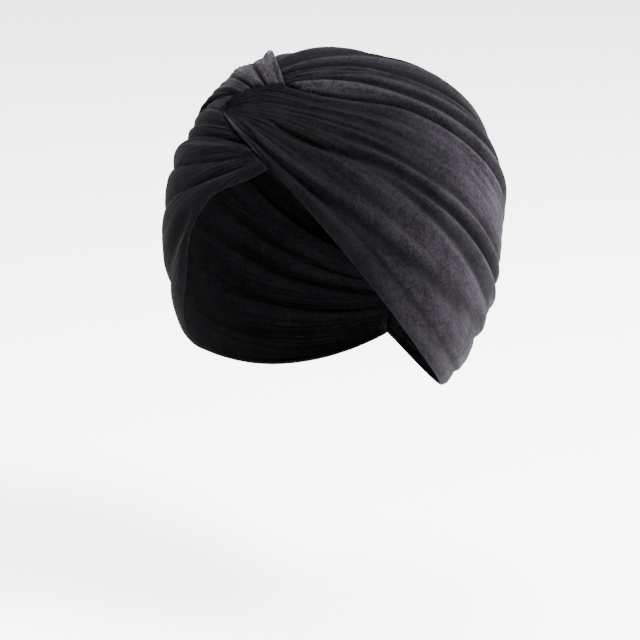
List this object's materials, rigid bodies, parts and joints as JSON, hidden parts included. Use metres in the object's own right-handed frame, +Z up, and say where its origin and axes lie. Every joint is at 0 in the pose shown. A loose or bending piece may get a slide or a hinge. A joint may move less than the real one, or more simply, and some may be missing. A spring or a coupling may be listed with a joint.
{
  "type": "turban headband",
  "caption": "Twisted black velvet turban that covers the crown, with pleated bands crossing at a fanned front knot and coming down over both ears to the nape.",
  "frame": {"origin": "on the inner face of the crown, straight above the middle of the head, where the turban rests on the head", "axes": "+Z up, the face opening faces -Y, +X is the wearer's left; the knot is at the front on the wearer's right (-X)"},
  "size_m": [0.1635, 0.1908, 0.1732],
  "materials": {
    "velvet": "crushed black velvet, matt base with a soft violet-grey sheen on the nap"
  },
  "bodies": {
    "root": {"crown": "velvet", "left_wrap": "velvet", "right_wrap": "velvet", "knot_fan": "velvet"}
  },
  "joints": []
}
